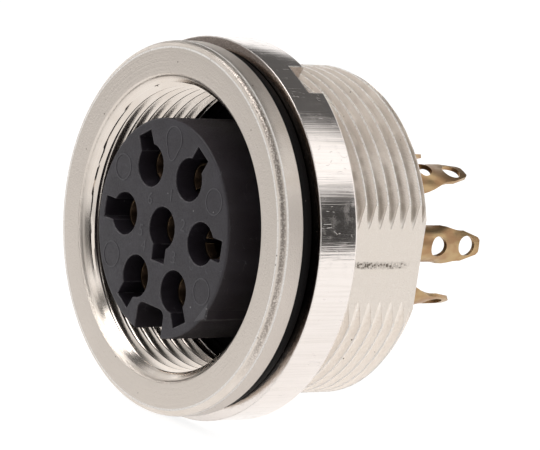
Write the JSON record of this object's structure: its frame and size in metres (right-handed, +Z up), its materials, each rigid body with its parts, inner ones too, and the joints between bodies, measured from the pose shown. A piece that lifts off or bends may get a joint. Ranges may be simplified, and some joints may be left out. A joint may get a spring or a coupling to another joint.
{
  "type": "circular panel socket",
  "caption": "Round sealed chassis socket with an inner coupling thread, keyed contact insert, solder tags, panel seal and slotted ring nut on a threaded rear barrel.",
  "frame": {"origin": "on the socket's axis, in the plane of the flange's back face, where the panel seats", "axes": "+Y along the axis, from the mouth towards the solder tags; +Z up, opposite the key slot; +X to the right, square to the milled flats"},
  "size_m": [0.0208, 0.0187, 0.0206],
  "materials": {
    "satin_nickel": "brass, turned and nickel plated, satin and slightly grainy",
    "bright_nickel": "brass, turned and nickel plated, bright with fine turning lines",
    "gold_plate": "rolled brass sheet, thin gold plating, slightly dull",
    "black_rubber": "moulded black rubber, matte",
    "insert_plastic": "moulded dark grey plastic, matte",
    "holder_plastic": "moulded black plastic, matte"
  },
  "bodies": {
    "socket": {"housing": "satin_nickel", "panel_seal": "black_rubber", "insert": "insert_plastic", "insert_seal": "black_rubber", "contact_holder": "holder_plastic", "retaining_ring": "satin_nickel", "contact_1": "gold_plate", "contact_2": "gold_plate", "contact_3": "gold_plate", "contact_4": "gold_plate", "contact_5": "gold_plate", "contact_6": "gold_plate", "contact_7": "gold_plate"},
    "nut": {"ring_nut": "bright_nickel"}
  },
  "joints": [
    {"name": "ring_nut_travel", "type": "slide", "parent": "socket", "child": "nut", "axis": [0, 1, 0], "range_m": [0, 0.00565]}
  ]
}
